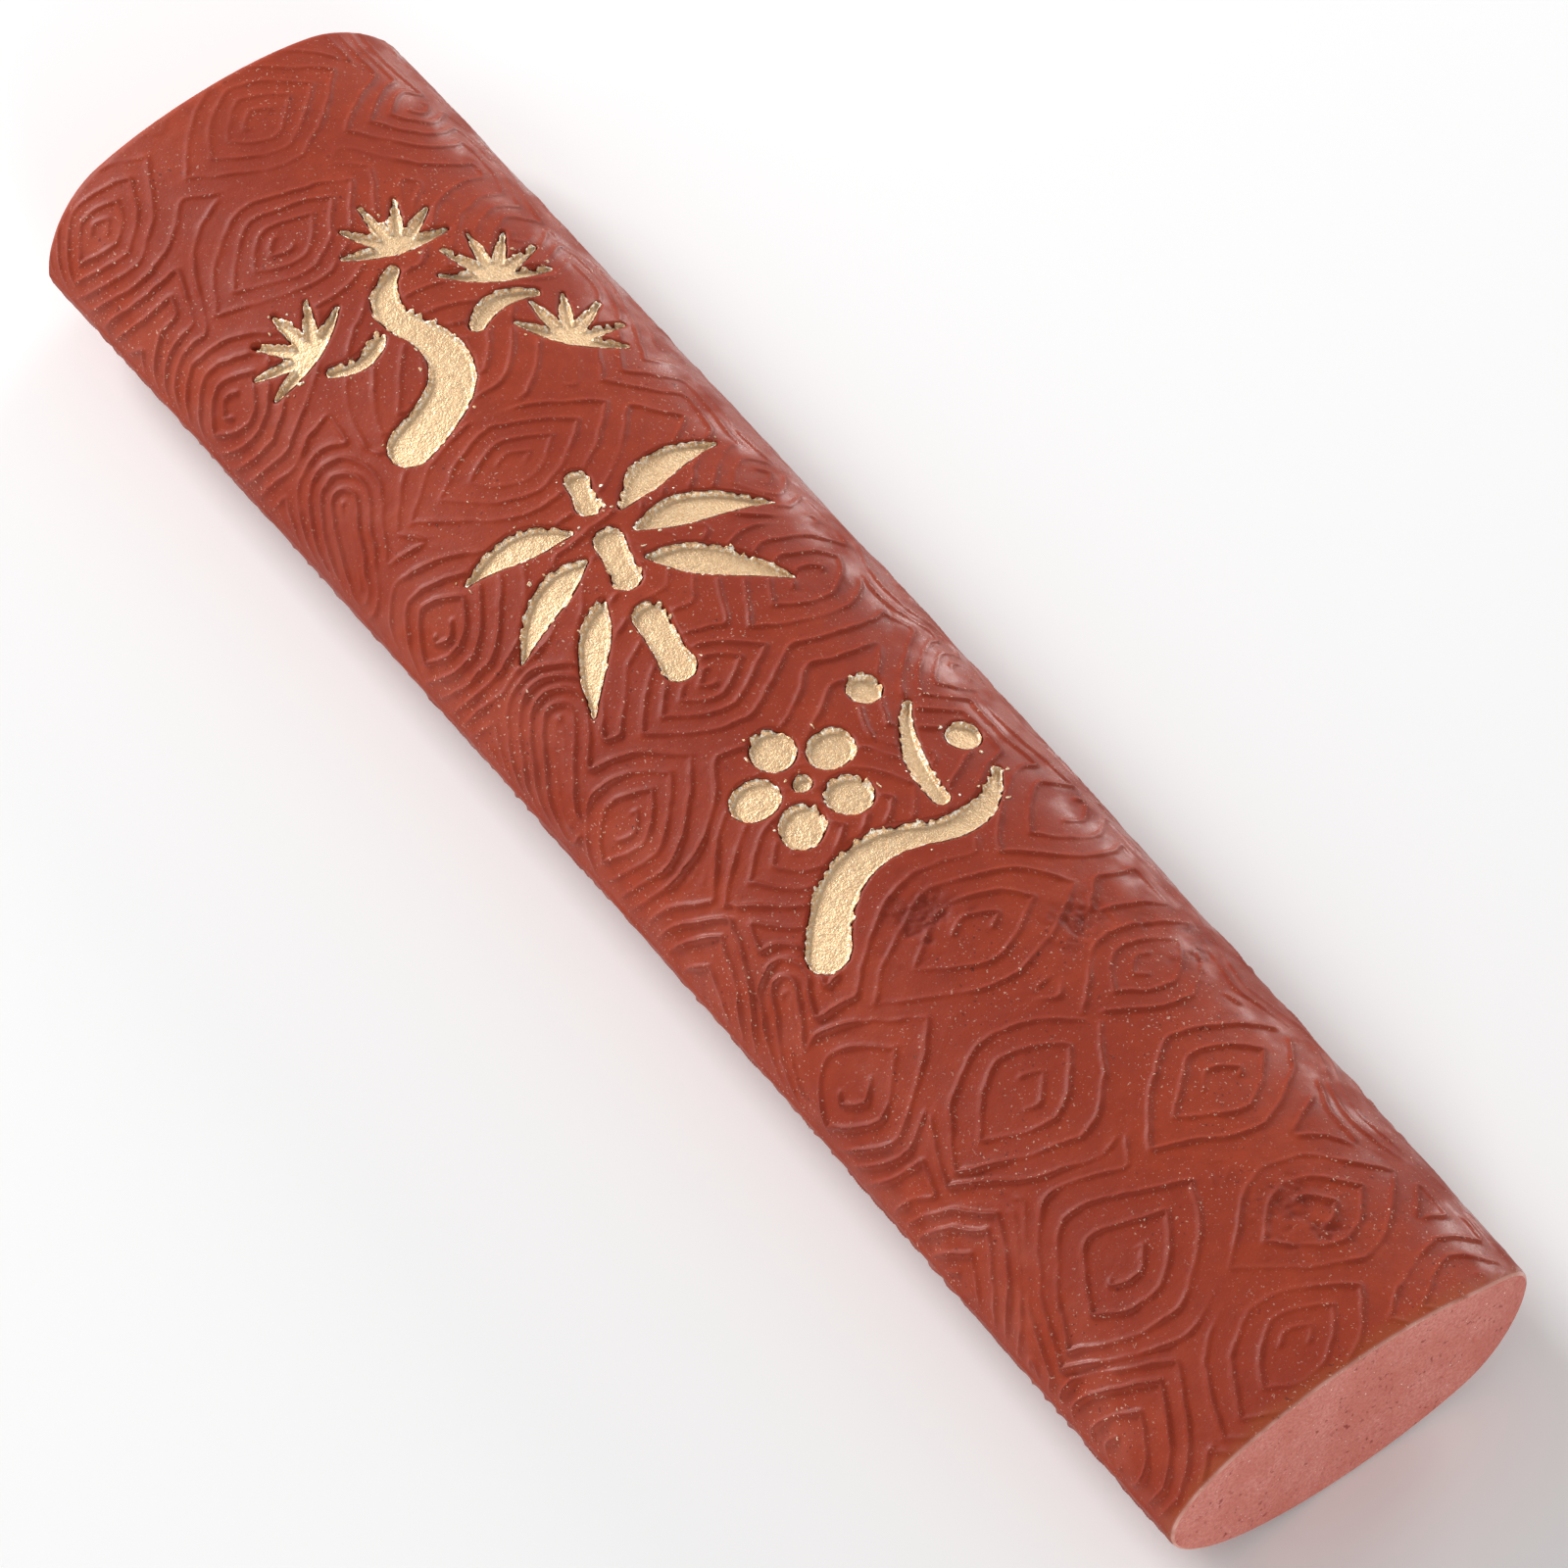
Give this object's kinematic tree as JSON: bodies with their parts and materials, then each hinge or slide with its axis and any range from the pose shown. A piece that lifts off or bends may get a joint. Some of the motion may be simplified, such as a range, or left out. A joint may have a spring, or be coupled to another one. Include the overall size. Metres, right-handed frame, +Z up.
{
  "type": "calligraphy ink stick",
  "caption": "Moulded flat-oval vermilion ink stick with a square grinding end and gold pine, bamboo and plum brush pictures sunk in one face.",
  "frame": {"origin": "on the surface that the stick lies on, under the middle of its length and width", "axes": "+X along the stick to the end that is ground on the inkstone, +Y across it, +Z up out of the gold face"},
  "size_m": [0.0944, 0.0222, 0.0105],
  "materials": {
    "ink": "satin",
    "gold_paint": "satin"
  },
  "bodies": {
    "root": {"bamboo_culm_low_gold": "gold_paint", "bamboo_culm_middle_gold": "gold_paint", "bamboo_culm_top_gold": "gold_paint", "bamboo_leaf_left_high_gold": "gold_paint", "bamboo_leaf_left_low_gold": "gold_paint", "bamboo_leaf_left_middle_gold": "gold_paint", "bamboo_leaf_right_high_gold": "gold_paint", "bamboo_leaf_right_low_gold": "gold_paint", "bamboo_leaf_right_middle_gold": "gold_paint", "ink_body": "ink", "pine_bough_left_gold": "gold_paint", "pine_bough_right_gold": "gold_paint", "pine_trunk_gold": "gold_paint", "pine_tuft_left_gold": "gold_paint", "pine_tuft_low_gold": "gold_paint", "pine_tuft_right_gold": "gold_paint", "pine_tuft_top_gold": "gold_paint", "plum_bough_gold": "gold_paint", "plum_bud_high_gold": "gold_paint", "plum_bud_low_gold": "gold_paint", "plum_heart_gold": "gold_paint", "plum_petal_1_gold": "gold_paint", "plum_petal_2_gold": "gold_paint", "plum_petal_3_gold": "gold_paint", "plum_petal_4_gold": "gold_paint", "plum_petal_5_gold": "gold_paint", "plum_twig_gold": "gold_paint"}
  },
  "joints": []
}
